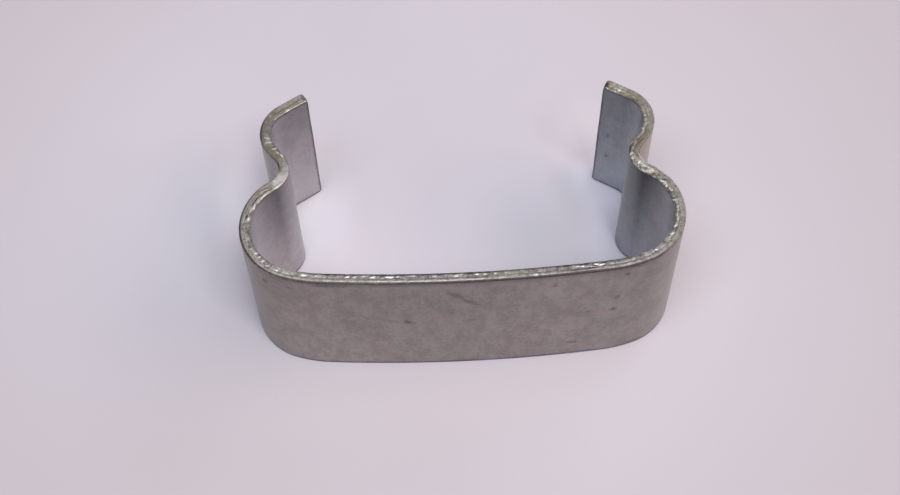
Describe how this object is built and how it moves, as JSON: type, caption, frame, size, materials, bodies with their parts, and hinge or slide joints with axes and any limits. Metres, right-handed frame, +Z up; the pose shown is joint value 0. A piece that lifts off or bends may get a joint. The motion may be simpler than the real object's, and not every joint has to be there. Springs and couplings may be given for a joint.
{
  "type": "fuel flap spring",
  "caption": "Flat strip spring bent on edge: a bowed web, round curls, narrow necks and short tabs turned inwards.",
  "frame": {"origin": "middle of the outline seen from above, on the sheared edge that the spring stands on", "axes": "+X across the web towards the right curl, +Y from the web towards the tabs, +Z up across the width of the strip"},
  "size_m": [0.0386, 0.02, 0.016],
  "materials": {
    "plated_steel": "dull zinc plate, smudged"
  },
  "bodies": {
    "root": {"flap_spring": "plated_steel"}
  },
  "joints": []
}
